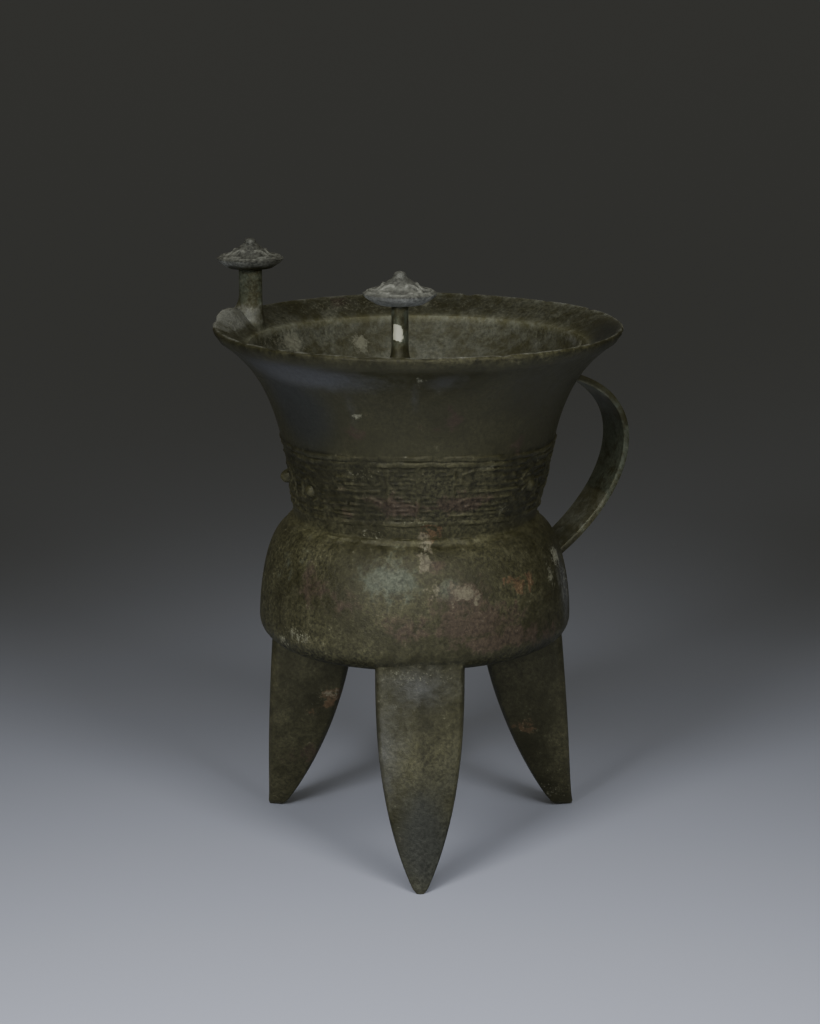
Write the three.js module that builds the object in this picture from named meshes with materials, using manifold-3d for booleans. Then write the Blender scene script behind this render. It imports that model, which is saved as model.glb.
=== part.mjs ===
// A bronze jia: a flared wine vessel on three spike legs, with a strap handle and two capped posts.
// Millimetres, +Z up. Azimuth 0 faces the front leg (-Y) and grows to the right (+X).
import * as THREE from 'three';
import { mergeVertices } from 'three/addons/utils/BufferGeometryUtils.js';
import Module from 'manifold-3d';

// Mouth and neck
const RIM_RADIUS = 80.3;
const LIP_UNDERSIDE = 207.8;
const LIP_EDGE = 208.9;
const LIP_TOP = 210.2;
const LIP_TOP_WIDTH = 1.1;
const LIP_BEVEL = 0.4;
const CREASE_RADIUS = 66.4;
const CREASE_HEIGHT = 202.8;
const INNER_FLARE_TOP = 197;
const WAIST_RADIUS = 47.8;
const WAIST_HEIGHT = 134.8;
const NECK_TOP = 205.2;
const NECK_RISE = 71.7;
const NECK_TAPER = 13.6;
const NECK_FLARE = 18.6;
const NECK_FLARE_POWER = 5.2;
const NECK_STEPS = 12;

// Belly and walls
const WALL = 2.8;
const FLOOR_UNDERSIDE = 85;
const FLOOR_THICKNESS = 3;
const BELLY_RADIUS = 62;
const BELLY_HEIGHT = 94;
const SHOULDER_HEIGHT = 132.5;
const BOTTOM_CORNER = 8.5;
const BELLY_SHIFT = -1.3;
const SHIFT_BOTTOM = 125;
const SHIFT_TOP = 160;
const BELLY_STEPS = 7;
const CORNER_ARC = [-90, 0];
const SHOULDER_ARC = [8, 82];
const INNER_SHOULDER_ARC = [12, 84];
const CORNER_STEPS = 4;
const ROUND_SEGMENTS = 40;

// Raised lines around the neck and shoulder
const LINE_WIDTH = 1.6;
const LINE_RELIEF = 0.7;
const BAND_BOTTOM = 141;
const BAND_TOP = 164;
const BAND_LINES = [BAND_BOTTOM, BAND_TOP, BAND_TOP + 2.6];

// Mask band: three masks between the mould seams. The right mask has only the eye on its left side.
const MASKS = [
  { middle: -70.5, spread: 1, eyes: [-1, 1] },
  { middle: 73, spread: 1, eyes: [-1] },
  { middle: 180, spread: 0.84, eyes: [-1, 1] },
];
const SEAM_AZIMUTHS = [0, -130, 131];
const STROKE_RELIEF = 0.8;
const STROKE_ROOT = 1.4;
const STROKE_WIDTH = 1.7;
const STROKE_ARC_STEP = 7;
const SEAM_SPAN = 2;
const SEAM_LENGTH = 17;
const NOSE_SPAN = 3;
const NOSE_LENGTH = 15;
const EYE_HEIGHT = 150.5;
const EYE_OFFSET = 15.5;
const EYE_RADIUS = 3.4;
const EYE_RELIEF = 4;
const EYE_SEGMENTS = 10;
const EYE_RINGS = 5;

// Half of a mask: brow, horn, cheek and jaw lines, from near its middle outwards, in degrees
const MASK_LINES = [
  { near: 4, far: 27, height: 160.6 },
  { near: 32, far: 58, height: 160.6 },
  { near: 18, far: 25, height: 156.4 },
  { near: 30, far: 52, height: 155.8 },
  { near: 4, far: 9, height: 154 },
  { near: 22, far: 46, height: 151.2 },
  { near: 32, far: 57, height: 146.4 },
  { near: 8, far: 28, height: 145 },
];
const MASK_HOOKS = [
  { near: 25, far: 27, height: 157.6, length: 4.4 },
  { near: 50, far: 52, height: 153.3, length: 3.4 },
];

// Legs
const LEGS = [
  { azimuth: 0.7, foot: 70.4, top: 61, tip: 1.6, bow: 2.15 },
  { azimuth: 119.5, foot: 75.4, top: 61.5, tip: 7, bow: 1.7 },
  { azimuth: -120.5, foot: 72.6, top: 62.5, tip: 5, bow: 1.88 },
];
const LEG_TOP = 96;
const LEG_HALF_WIDTH = 17.4;
const LEG_RIDGE = 3.4;
const LEG_DEPTH = 32;
const LEG_CORNER = 0.12;
const LEG_TAPER_POWER = 2.5;
const LEG_TAPER_EASE = 0.86;
const LEG_BLUNT = 3;
const LEG_SPLAY_POWER = 0.62;
const LEG_STEPS = 14;
const LEG_STEP_POWER = 1.4;

// Strap handle, as a curve of radius and height in its own upright plane
const HANDLE_AZIMUTH = 114;
const HANDLE_WIDTH = 18.5;
const HANDLE_THICKNESS = 2.9;
const HANDLE_CURVE = new THREE.CubicBezierCurve(
  new THREE.Vector2(57, 187.5),
  new THREE.Vector2(101, 180),
  new THREE.Vector2(98, 140),
  new THREE.Vector2(56, 112),
);
const HANDLE_STEPS = 18;

// Posts and their caps
const POST_TANGENT = 3.1;
const POST_RADIAL = 5;
const POST_FLARE = 2.6;
const POST_FLARE_HEIGHT = 9;
const POST_LEVELS = [0, 0.15, 0.4, 0.7, 1];
const POST_SINK = 1.5;
const POST_SIDES = 12;
const CAP_UNDERSIDE = 228.8;
const CAP_UNDER_RADIUS = 9;
const CAP_UNDER_RISE = 0.4;
const CAP_BRIM = 231.4;
const CAP_BRIM_TOP = 233;
const CAP_BRIM_WIDTH = 1;
const CAP_BRIM_RISE = 0.2;
const CAP_DISH_SHARE = 0.66;
const CAP_DISH_HEIGHT = 234.6;
const CAP_DOME_SHARE = 0.44;
const CAP_DOME_HEIGHT = 236.4;
const CAP_CONE_TOP = 238.2;
const CAP_KNOB_BASE = 3.3;
const CAP_KNOB_RADIUS = 2.4;
const CAP_KNOB_HEIGHT = 239;
const CAP_TIP_RADIUS = 1.9;
const CAP_TIP_HEIGHT = 240.4;
const CAP_TOP = 241;
const CAP_SEGMENTS = 18;
const POSTS = [
  { azimuth: -5.4, radius: 72, capRadius: 13.6, drop: 0 },
  { azimuth: -113, radius: 72.8, capRadius: 13.4, drop: 0.8 },
];

// Swelling of the lip beside the left post's foot
const PAD_AZIMUTH = -101;
const PAD_RADIUS = 74.5;
const PAD_HALF_LENGTH = 13;
const PAD_HALF_WIDTH = 5.4;
const PAD_HEIGHT = 3.6;
const PAD_SEGMENTS = 10;
const PAD_RINGS = 5;

const BRONZE = new THREE.MeshStandardMaterial({ color: 0x3b3a2c, roughness: 0.55, metalness: 0.7 });

const wasm = await Module();
wasm.setup();

const radians = THREE.MathUtils.degToRad;
const lerp = THREE.MathUtils.lerp;

function point(radius, height) {
  return new THREE.Vector2(radius, height);
}

function steps(count) {
  return Array.from({ length: count + 1 }, (_, index) => index / count);
}

// A closed geometry becomes a solid once its seams are merged and its empty faces are gone.
function solid(geometry) {
  geometry.deleteAttribute('normal');
  geometry.deleteAttribute('uv');
  const merged = mergeVertices(geometry, 1e-4);
  const index = merged.index.array;
  const triangles = [];
  for (let start = 0; start < index.length; start += 3) {
    const [a, b, c] = index.slice(start, start + 3);
    if (a !== b && b !== c && c !== a) {
      triangles.push(a, b, c);
    }
  }
  return new wasm.Manifold(new wasm.Mesh({
    numProp: 3,
    vertProperties: new Float32Array(merged.attributes.position.array),
    triVerts: new Uint32Array(triangles),
  }));
}

function geometryOf(body) {
  const mesh = body.getMesh();
  const geometry = new THREE.BufferGeometry();
  geometry.setAttribute('position', new THREE.BufferAttribute(mesh.vertProperties, 3));
  geometry.setIndex(new THREE.BufferAttribute(mesh.triVerts, 1));
  geometry.computeVertexNormals();
  return geometry;
}

// Turns a profile of radius and height about the upright axis.
function turned(profile, segments) {
  return new THREE.LatheGeometry(profile, segments).rotateX(Math.PI / 2);
}

// Moves the belly a little sideways of the mouth, as the old mould left it.
function settled(geometry) {
  const corners = geometry.attributes.position;
  for (let index = 0; index < corners.count; index += 1) {
    const share = 1 - THREE.MathUtils.smoothstep(corners.getZ(index), SHIFT_BOTTOM, SHIFT_TOP);
    corners.setX(index, corners.getX(index) + BELLY_SHIFT * share);
  }
  return geometry;
}

// Skins rings of equal length, lowest first, each counter-clockwise from above, with flat ends.
function loft(rings) {
  const sides = rings[0].length;
  const positions = rings.flat().flatMap((corner) => corner.toArray());
  const index = [];
  for (let ring = 0; ring < rings.length - 1; ring += 1) {
    for (let side = 0; side < sides; side += 1) {
      const a = ring * sides + side;
      const b = ring * sides + (side + 1) % sides;
      index.push(a, b, b + sides, a, b + sides, a + sides);
    }
  }
  const last = (rings.length - 1) * sides;
  for (let side = 1; side < sides - 1; side += 1) {
    index.push(0, side + 1, side);
    index.push(last, last + side, last + side + 1);
  }
  const geometry = new THREE.BufferGeometry();
  geometry.setAttribute('position', new THREE.Float32BufferAttribute(positions, 3));
  geometry.setIndex(index);
  return geometry;
}

// Places a point given by its distance out, across and up in the upright plane of an azimuth.
function placed(azimuth, out, across, height) {
  const angle = radians(azimuth);
  return new THREE.Vector3(
    out * Math.sin(angle) + across * Math.cos(angle),
    -out * Math.cos(angle) + across * Math.sin(angle),
    height,
  );
}

function neckRadius(height) {
  const rise = (height - WAIST_HEIGHT) / NECK_RISE;
  return WAIST_RADIUS + NECK_TAPER * rise + NECK_FLARE * Math.max(rise, 0) ** NECK_FLARE_POWER;
}

function innerNeckRadius(height) {
  const slope = neckRadius(height + 0.5) - neckRadius(height - 0.5);
  return neckRadius(height) - WALL * Math.hypot(1, slope);
}

// Quarter of an ellipse about a centre, between two angles in degrees.
function quarter(centre, across, up, [from, to], count) {
  return steps(count).map((share) => {
    const angle = radians(lerp(from, to, share));
    return point(centre.x + across * Math.cos(angle), centre.y + up * Math.sin(angle));
  });
}

function raisedLine(height) {
  const half = LINE_WIDTH / 2;
  return [
    point(neckRadius(height - half), height - half),
    point(neckRadius(height) + LINE_RELIEF, height),
    point(neckRadius(height + half), height + half),
  ];
}

function outerProfile() {
  const corner = point(BELLY_RADIUS - BOTTOM_CORNER, BELLY_HEIGHT);
  const shoulder = point(WAIST_RADIUS, BELLY_HEIGHT);
  const shoulderWidth = BELLY_RADIUS - WAIST_RADIUS;
  const shoulderRise = SHOULDER_HEIGHT - BELLY_HEIGHT;
  const bowstring = point(WAIST_RADIUS + LINE_WIDTH, SHOULDER_HEIGHT + LINE_RELIEF);
  const neck = steps(NECK_STEPS)
    .map((share) => lerp(WAIST_HEIGHT, NECK_TOP, share))
    .filter((height) => BAND_LINES.every((line) => Math.abs(height - line) > LINE_WIDTH))
    .map((height) => point(neckRadius(height), height));
  const lines = BAND_LINES.flatMap(raisedLine);
  return [
    point(0, FLOOR_UNDERSIDE),
    ...quarter(corner, BOTTOM_CORNER, BELLY_HEIGHT - FLOOR_UNDERSIDE, CORNER_ARC, CORNER_STEPS),
    ...quarter(shoulder, shoulderWidth, shoulderRise, SHOULDER_ARC, BELLY_STEPS),
    bowstring,
    ...[...neck, ...lines].sort((a, b) => a.y - b.y),
    point(RIM_RADIUS - LIP_BEVEL, LIP_UNDERSIDE),
    point(RIM_RADIUS, LIP_EDGE),
    point(RIM_RADIUS - LIP_TOP_WIDTH / 2, LIP_TOP),
    point(0, LIP_TOP),
  ];
}

function cavityProfile() {
  const floor = FLOOR_UNDERSIDE + FLOOR_THICKNESS;
  const belly = BELLY_RADIUS - WALL;
  const waist = WAIST_RADIUS - WALL;
  const corner = point(belly - BOTTOM_CORNER, BELLY_HEIGHT);
  const shoulder = point(waist, BELLY_HEIGHT);
  const innerRise = SHOULDER_HEIGHT - WALL - BELLY_HEIGHT;
  const neck = steps(NECK_STEPS / 2)
    .map((share) => lerp(WAIST_HEIGHT, INNER_FLARE_TOP, share))
    .map((height) => point(innerNeckRadius(height), height));
  return [
    point(0, floor),
    ...quarter(corner, BOTTOM_CORNER, BELLY_HEIGHT - floor, CORNER_ARC, CORNER_STEPS - 1),
    ...quarter(shoulder, belly - waist, innerRise, INNER_SHOULDER_ARC, BELLY_STEPS - 2),
    ...neck,
    point(CREASE_RADIUS, CREASE_HEIGHT),
    point(RIM_RADIUS - LIP_TOP_WIDTH, LIP_TOP),
    point(RIM_RADIUS - LIP_TOP_WIDTH, LIP_TOP + WALL),
    point(0, LIP_TOP + WALL),
  ];
}

// A tapered spike with a shallow ridge down its outer face and a blunt foot.
function leg({ azimuth, foot, top, tip, bow }) {
  const rings = steps(LEG_STEPS).map((share) => {
    const height = LEG_TOP * share ** LEG_STEP_POWER;
    const rise = Math.min((height + LEG_BLUNT) / (FLOOR_UNDERSIDE + LEG_BLUNT), 1);
    const size = (1 - (1 - rise) ** LEG_TAPER_POWER) ** LEG_TAPER_EASE;
    const depth = lerp(tip, LEG_DEPTH, 1 - (1 - rise) ** bow);
    const ridge = lerp(foot, top, Math.min(height / FLOOR_UNDERSIDE, 1) ** LEG_SPLAY_POWER);
    const corner = ridge - LEG_RIDGE * size;
    const back = corner - depth * LEG_CORNER;
    const inner = ridge - depth;
    const wide = LEG_HALF_WIDTH * size;
    const narrow = wide * LEG_CORNER;
    return [
      placed(azimuth, ridge, 0, height),
      placed(azimuth, corner, wide - narrow / 2, height),
      placed(azimuth, back, wide, height),
      placed(azimuth, inner, narrow, height),
      placed(azimuth, inner, -narrow, height),
      placed(azimuth, back, -wide, height),
      placed(azimuth, corner, -wide + narrow / 2, height),
    ];
  });
  return loft(rings);
}

// A flat strap bent to the handle curve.
function handle() {
  const half = HANDLE_THICKNESS / 2;
  const outer = [];
  const inner = [];
  for (const share of steps(HANDLE_STEPS)) {
    const middle = HANDLE_CURVE.getPoint(share);
    const along = HANDLE_CURVE.getTangent(share);
    const normal = point(-along.y, along.x).multiplyScalar(half);
    outer.push(middle.clone().add(normal));
    inner.unshift(middle.clone().sub(normal));
  }
  const strap = new THREE.ExtrudeGeometry(new THREE.Shape([...outer, ...inner]), {
    depth: HANDLE_WIDTH,
    bevelEnabled: false,
  });
  return strap
    .translate(0, 0, -HANDLE_WIDTH / 2)
    .rotateX(Math.PI / 2)
    .rotateZ(radians(HANDLE_AZIMUTH - 90));
}

// A bar that hugs the neck from one azimuth to another, in its mask band.
function stroke(fromAzimuth, toAzimuth, height, width) {
  const wall = neckRadius(height);
  const from = radians(fromAzimuth - 90);
  const to = radians(toAzimuth - 90);
  const outline = new THREE.Shape();
  outline.absarc(0, 0, wall + STROKE_RELIEF, from, to, false);
  outline.absarc(0, 0, wall - STROKE_ROOT, to, from, true);
  const bar = new THREE.ExtrudeGeometry(outline, {
    depth: width,
    curveSegments: Math.max(1, Math.round((toAzimuth - fromAzimuth) / STROKE_ARC_STEP)),
    bevelEnabled: false,
  });
  return bar.translate(0, 0, height - width / 2);
}

// One side of a mask, from its middle outwards, with hooked ends.
function maskSide({ middle, spread }, side) {
  const bar = ({ near, far, height, length = STROKE_WIDTH }) => {
    const ends = [near, far].map((offset) => middle + side * spread * offset);
    return stroke(Math.min(...ends), Math.max(...ends), height, length);
  };
  return [...MASK_LINES, ...MASK_HOOKS].map(bar);
}

// A mask's bossed eyes, on the sides that still have one.
function maskEyes({ middle, spread, eyes }) {
  return eyes.map((side) => eye(middle + side * spread * EYE_OFFSET));
}

function eye(azimuth) {
  const place = placed(azimuth, neckRadius(EYE_HEIGHT), 0, EYE_HEIGHT);
  return new THREE.SphereGeometry(1, EYE_SEGMENTS, EYE_RINGS)
    .scale(EYE_RADIUS, EYE_RELIEF, EYE_RADIUS)
    .rotateZ(radians(azimuth))
    .translate(place.x, place.y, place.z);
}

function maskBand() {
  const bandMiddle = (BAND_BOTTOM + BAND_TOP) / 2;
  const upright = (azimuth, span, length) => {
    return stroke(azimuth - span / 2, azimuth + span / 2, bandMiddle, length);
  };
  const seams = SEAM_AZIMUTHS.map((azimuth) => upright(azimuth, SEAM_SPAN, SEAM_LENGTH));
  const noses = MASKS.map(({ middle }) => upright(middle, NOSE_SPAN, NOSE_LENGTH));
  const sides = MASKS.flatMap((mask) => [...maskSide(mask, -1), ...maskSide(mask, 1)]);
  return [...seams, ...noses, ...sides, ...MASKS.flatMap(maskEyes)];
}

function lipHeight(radius) {
  const slope = (LIP_TOP - CREASE_HEIGHT) / (RIM_RADIUS - LIP_TOP_WIDTH - CREASE_RADIUS);
  return CREASE_HEIGHT + (radius - CREASE_RADIUS) * slope;
}

function capProfile(radius) {
  return [
    point(0, CAP_UNDERSIDE),
    point(CAP_UNDER_RADIUS, CAP_UNDERSIDE + CAP_UNDER_RISE),
    point(radius - CAP_BRIM_WIDTH, CAP_BRIM),
    point(radius, CAP_BRIM_TOP),
    point(radius - CAP_BRIM_WIDTH, CAP_BRIM_TOP + CAP_BRIM_RISE),
    point(radius * CAP_DISH_SHARE, CAP_DISH_HEIGHT),
    point(radius * CAP_DOME_SHARE, CAP_DOME_HEIGHT),
    point(CAP_KNOB_BASE, CAP_CONE_TOP),
    point(CAP_KNOB_RADIUS, CAP_KNOB_HEIGHT),
    point(CAP_TIP_RADIUS, CAP_TIP_HEIGHT),
    point(0, CAP_TOP),
  ];
}

// A short stem that spreads where it meets the sloping lip, under a knobbed conical cap.
function post({ azimuth, radius, capRadius, drop }) {
  const bottom = lipHeight(radius) - POST_SINK;
  const lean = lipHeight(radius + 1) - lipHeight(radius);
  const levels = POST_LEVELS.map((share) => share * POST_FLARE_HEIGHT);
  levels.push(CAP_UNDERSIDE + POST_SINK / 2 - drop - bottom);
  const rings = levels.map((level) => {
    const down = Math.max(1 - level / POST_FLARE_HEIGHT, 0);
    const spread = POST_FLARE * down ** 2;
    return steps(POST_SIDES).slice(0, POST_SIDES).map((share) => {
      const angle = share * Math.PI * 2;
      const out = (POST_RADIAL + spread) * Math.cos(angle);
      const across = (POST_TANGENT + spread) * Math.sin(angle);
      return placed(azimuth, radius + out, across, bottom + level + out * lean * down);
    });
  });
  const centre = placed(azimuth, radius, 0, -drop);
  const cap = turned(capProfile(capRadius), CAP_SEGMENTS).translate(...centre.toArray());
  return solid(loft(rings)).add(solid(cap));
}

function pad() {
  const place = placed(PAD_AZIMUTH, PAD_RADIUS, 0, lipHeight(PAD_RADIUS));
  return new THREE.SphereGeometry(1, PAD_SEGMENTS, PAD_RINGS)
    .rotateX(Math.PI / 2)
    .scale(PAD_HALF_LENGTH, PAD_HALF_WIDTH, PAD_HEIGHT)
    .rotateZ(radians(PAD_AZIMUTH))
    .translate(place.x, place.y, place.z);
}

function casting() {
  const shell = settled(turned(outerProfile(), ROUND_SEGMENTS));
  const cavity = settled(turned(cavityProfile(), ROUND_SEGMENTS));
  let body = solid(shell);
  for (const piece of [...LEGS.map(leg), handle(), ...maskBand().map(settled)]) {
    body = body.add(solid(piece));
  }
  body = body.subtract(solid(cavity));
  for (const place of POSTS) {
    body = body.add(post(place));
  }
  body = body.add(solid(pad()));
  return body;
}

// The part's origin is the middle of its box, on the ground.
function centred(geometry) {
  geometry.computeBoundingBox();
  const middle = geometry.boundingBox.getCenter(new THREE.Vector3());
  return geometry.translate(-middle.x, -middle.y, -geometry.boundingBox.min.z);
}

const vessel = new THREE.Mesh(centred(geometryOf(casting())), BRONZE);
vessel.name = 'jia_vessel';

const jia = new THREE.Group();
jia.add(vessel);

export default jia;
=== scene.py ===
import math
from types import SimpleNamespace

import bmesh
import bpy
import numpy as np
from mathutils import Matrix, Vector


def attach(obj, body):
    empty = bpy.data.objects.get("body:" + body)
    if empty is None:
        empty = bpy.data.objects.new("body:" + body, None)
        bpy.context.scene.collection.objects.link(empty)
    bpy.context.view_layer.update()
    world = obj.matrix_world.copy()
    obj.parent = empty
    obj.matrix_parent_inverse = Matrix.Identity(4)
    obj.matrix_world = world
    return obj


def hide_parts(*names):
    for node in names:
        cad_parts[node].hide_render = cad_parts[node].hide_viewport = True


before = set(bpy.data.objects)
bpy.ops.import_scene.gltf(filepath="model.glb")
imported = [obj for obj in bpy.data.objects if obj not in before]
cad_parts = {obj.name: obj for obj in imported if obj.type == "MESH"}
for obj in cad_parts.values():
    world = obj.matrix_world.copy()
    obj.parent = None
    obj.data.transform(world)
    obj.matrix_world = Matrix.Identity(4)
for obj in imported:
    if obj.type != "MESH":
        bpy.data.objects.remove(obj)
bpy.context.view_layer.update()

# Sizes are in millimetres and angles in degrees, measured from the vessel's axis.
# Azimuth 0 points at the camera (-Y) and grows towards +X.
MM = 0.001
NODE = "jia_vessel"
# Keeps a division from dividing by zero
TINY = 1e-9

# Bowl
RIM_RADIUS = 80.3
LIP_UNDERSIDE = 207.8
LIP_EDGE = 208.9
LIP_TOP = 210.2
LIP_TOP_RADIUS = 79.2
LIP_BEVEL = 0.4
LIP_UNDER_INSET = 1.2
LIP_UNDER_DROP = 1.0
CREASE_RADIUS = 66.4
CREASE_HEIGHT = 202.8
INNER_FLARE_TOP = 197.0
WAIST_RADIUS = 47.8
WAIST_HEIGHT = 134.8
WAIST_EASE_OUT = (0.9, 0.1)
WAIST_EASE_HEIGHTS = (132.9, 134.6)
NECK_TOP = 205.2
NECK_RISE = 71.7
NECK_TAPER = 13.6
NECK_FLARE = 18.6
NECK_FLARE_POWER = 5.2
WALL = 2.8
FLOOR_UNDERSIDE = 85.0
FLOOR_TOP = 88.0
BELLY_RADIUS = 62.0
BELLY_HEIGHT = 94.0
SHOULDER_HEIGHT = 132.5
BOTTOM_CORNER = 8.5
BELLY_SHIFT = -1.3
SHIFT_BOTTOM = 125.0
SHIFT_TOP = 160.0

# Rows and columns of the lathe grids
COARSE_COLUMNS = 264
FINE_COLUMNS = 528
UNDERSIDE_ROWS = 4
CORNER_ROWS = 9
SHOULDER_ROWS = 28
WAIST_ROWS = 4
BAND_ROWS = 86
NECK_ROWS = 28
LIP_ROWS = 5
INNER_FLOOR_ROWS = 3
INNER_CORNER_ROWS = 7
INNER_SHOULDER_ROWS = 11
INNER_NECK_ROWS = 18
INNER_LIP_ROWS = 8
BAND_GRID_BOTTOM = 135.0
BAND_GRID_TOP = 169.0
NECK_ROW_GAP = 1.2
SHOULDER_ARC = (3, 84)
INNER_SHOULDER_ARC = (6, 80)
# First and last rings of the flat underside and floor, as shares of their radius
UNDERSIDE_RINGS = (0.25, 0.85)
INNER_FLOOR_RINGS = (0.25, 0.8)
# Where the inner slope of the lip starts and ends, as shares of its way from the crease to the edge
LIP_SLOPE_SHARES = (0.12, 1.3)
# Rings that close the blank and the cavity over the mouth
BLANK_TOP_RADII = (65.2, 10.0)
CAVITY_TOP_SHARES = (0.7, 0.15)

# Decoration band
BAND_MIDDLE = 152.6
BAND_RADIUS = 50.5
SAG_TOP = 1.3
SAG_BOTTOM = 0.6
TOP_LINES = (163.9, 166.2)
BOTTOM_LINE = 140.3
SHOULDER_LINE = 133.0
LINE_HALF_WIDTH = 0.75
LINE_RELIEF = 0.65
SHOULDER_LINE_HALF_WIDTH = 1.0
SHOULDER_LINE_RELIEF = 1.0
STROKE_HALF_WIDTH = 0.42
STROKE_RELIEF = 0.6
STROKE_CROWN = 0.2
STROKE_EASE = 0.4
FILLER_PITCH = 1.75
FILLER_HALF_WIDTH = 0.3
FILLER_RELIEF = 0.3
FILLER_DASH = 7.0
FILLER_STAGGER = 2.4
FILLER_BREAK = (-0.5, 0.1)
SEAMS = (0.0, -130.0, 131.0)
SEAM_HALF_WIDTH = 0.6
# Masks: azimuth of the nose, and how far the mask is spread
MASKS = ((-70.5, 1.0), (73.0, 1.0), (180.0, 0.84))
# Bossed eyes: azimuth, how far they stand out, and height above the band's middle
EYES = ((-86.0, 3.4, -2.2), (-55.0, 1.9, -2.2), (57.5, 2.2, 0.0), (167.0, 2.4, -2.2), (193.0, 2.4, -2.2))
EYE_RADIUS = 2.6

# Half of a mask, as lines of (across from the nose, up from the band's middle)
MASK_STROKES = (
    ((1.3, -10.5), (1.3, 9.8)),
    ((3.0, 8.0), (13.5, 8.0), (18.5, 6.6), (20.5, 3.8), (18.6, 1.6), (16.4, 3.2)),
    ((4.2, 5.2), (11.5, 5.2)),
    ((4.0, 2.2), (8.2, 2.2), (8.2, -5.8), (4.0, -5.8)),
    ((4.2, -1.8), (6.0, -1.8)),
    ((9.6, 2.4), (14.5, 2.9), (18.4, -0.8)),
    ((9.4, -5.2), (13.6, -7.0), (18.0, -4.4)),
    ((4.0, -8.9), (20.5, -8.9), (23.4, -6.8), (22.2, -4.6), (20.2, -5.8)),
    ((22.5, 9.0), (44.0, 9.0), (48.2, 7.2), (48.6, 4.0), (45.8, 3.0), (44.2, 5.2)),
    ((24.5, 6.2), (41.0, 6.2)),
    ((23.0, 3.2), (31.0, 3.2)),
    ((34.0, 3.2), (41.5, 3.2)),
    ((22.0, 0.4), (47.5, 0.4)),
    ((25.0, -2.4), (45.0, -2.4), (48.4, -4.0), (46.8, -6.0), (44.0, -5.2)),
    ((26.0, -5.0), (33.0, -5.0)),
    ((35.5, -5.0), (41.0, -5.0)),
    ((26.0, -9.0), (50.0, -9.0)),
    ((28.0, -7.2), (40.5, -7.2)),
    ((51.0, -4.0), (51.0, 8.6)),
)

# An eased corner takes at most this share of the edge beside it
EASE_LIMIT = 0.35

# Legs
LEGS = (
    dict(azimuth=0.7, foot=70.4, top=61.0, tip=1.6, bow=2.15),
    dict(azimuth=119.5, foot=75.4, top=61.5, tip=7.0, bow=1.7),
    dict(azimuth=-120.5, foot=72.6, top=62.5, tip=5.0, bow=1.88),
)
FRONT_LEG_AZIMUTH = LEGS[0]["azimuth"]
LEG_TOP = 96.0
LEG_FULL = 88.0
LEG_REACH = 85.0
LEG_HALF_WIDTH = 17.4
LEG_RIDGE = 3.4
LEG_DEPTH = 32.0
LEG_CORNER = 0.12
LEG_TAPER_POWER = 2.5
LEG_TAPER_EASE = 0.86
LEG_BLUNT = 3.0
LEG_SPLAY_POWER = 0.62
LEG_ROWS = 52
LEG_ROW_POWER = 1.8
LEG_ROUNDING = 1.3
TIP_WEAR = 0.45
TIP_ROUNDING = 1.8

# Handle
HANDLE_AZIMUTH = 114.0
HANDLE_WIDTH = 18.5
HANDLE_THICKNESS = 2.9
HANDLE_ROUNDING = 1.0
HANDLE_CURVE = ((57.0, 187.5), (101.0, 180.0), (98.0, 140.0), (56.0, 112.0))
HANDLE_STEPS = 64

# Posts and their caps
POSTS = (
    dict(azimuth=-5.4, radius=72.0, cap=13.6, drop=0.0, flare=2.6, flare_height=9.0),
    dict(azimuth=-113.0, radius=72.8, cap=13.4, drop=0.8, flare=4.2, flare_height=13.0),
)
POST_TANGENT = 3.1
POST_RADIAL = 5.0
POST_SINK = 1.5
INNER_FLARE = 0.3
POST_SIDES = 28
POST_ROWS = 22
POST_ROW_POWER = 1.4
CAP_UNDERSIDE = 228.8
CAP_BRIM = 233.0
CAP_BRIM_INSET = 0.6
CAP_BRIM_RISE = 0.25
CAP_KNOB = 238.2
CAP_TOP = 241.0
CAP_COLUMNS = 96
CAP_ROWS = 26
# The underside near the post as (radius, height), and near the brim as (in from the brim, height)
CAP_UNDER_MIDDLE = ((2.0, CAP_UNDERSIDE), (9.0, CAP_UNDERSIDE + 0.4))
CAP_UNDER_EDGE = ((1.0, 231.4), (0.25, 232.3))
# The cone's bend as (share of the cap's radius, height), and the knob as (radius, height)
CAP_BEND = ((0.44, 236.4), (0.66, 234.6))
KNOB_FOOT = 3.3
KNOB = ((2.7, CAP_KNOB + 0.5), (2.4, 239.0), (2.3, 239.7), (1.9, 240.4), (1.0, 240.85))
CAP_CURLS = 6
CURL_REACH = (22.0, 0.24)
CURL_MIDDLE = 0.46
CURL_RELIEF = 0.55
CURL_EDGE = (0.14, 0.34)
CURL_OPENING = (-0.7, -0.4)
BRIM_LINE_MIDDLE = 0.1
BRIM_LINE_EDGE = (0.03, 0.07)
BRIM_LINE_RELIEF = 0.4

# Swelling of the lip beside the left post's foot
PAD_AZIMUTH = -104.0
PAD_SPREAD = 12.0
PAD_LIFT = 2.9
PAD_BOTTOM = CREASE_HEIGHT + 1
PAD_SWELL = 1.5
PAD_MIDDLE = 207.8
PAD_REACH = 3.6

# Casting unevenness, rubbing and losses. Cells are (number round the vessel, height of one).
WAVE_SEED = 11
RUB_SEED = 12
WANDER_UP_SEED = 13
WANDER_ROUND_SEED = 14
FINE_RUB_SEED = 15
NICK_SEED = 16
NOISE_ROWS = 200
SWELL = 0.22
WAVE_COUNT = 14
WAVE_CYCLES = (1, 9)
WAVE_RISE = 0.16
WAVE_SHARES = (0.3, 1.0)
WAVE_GAIN = 1.6
INNER_WAVE_OFFSET = 60
WANDER = 0.55
WANDER_UP_CELLS = (72, 3.5)
WANDER_ROUND_CELLS = (90, 2.5)
RUB_CELLS = (44, 6)
RUB_SHARE = 0.6
FINE_RUB_CELLS = (130, 2)
FINE_RUB_SHARE = 0.4
RUB_RANGE = (0.2, 0.75)
RUB_LEFT = (0.12, 1.15)
NICK_DEPTH = 0.7
NICK_CELLS = (110, 30)
NICK_RANGE = (0.66, 0.95)
NICK_BOTTOM = LIP_UNDERSIDE - 1.5

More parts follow.
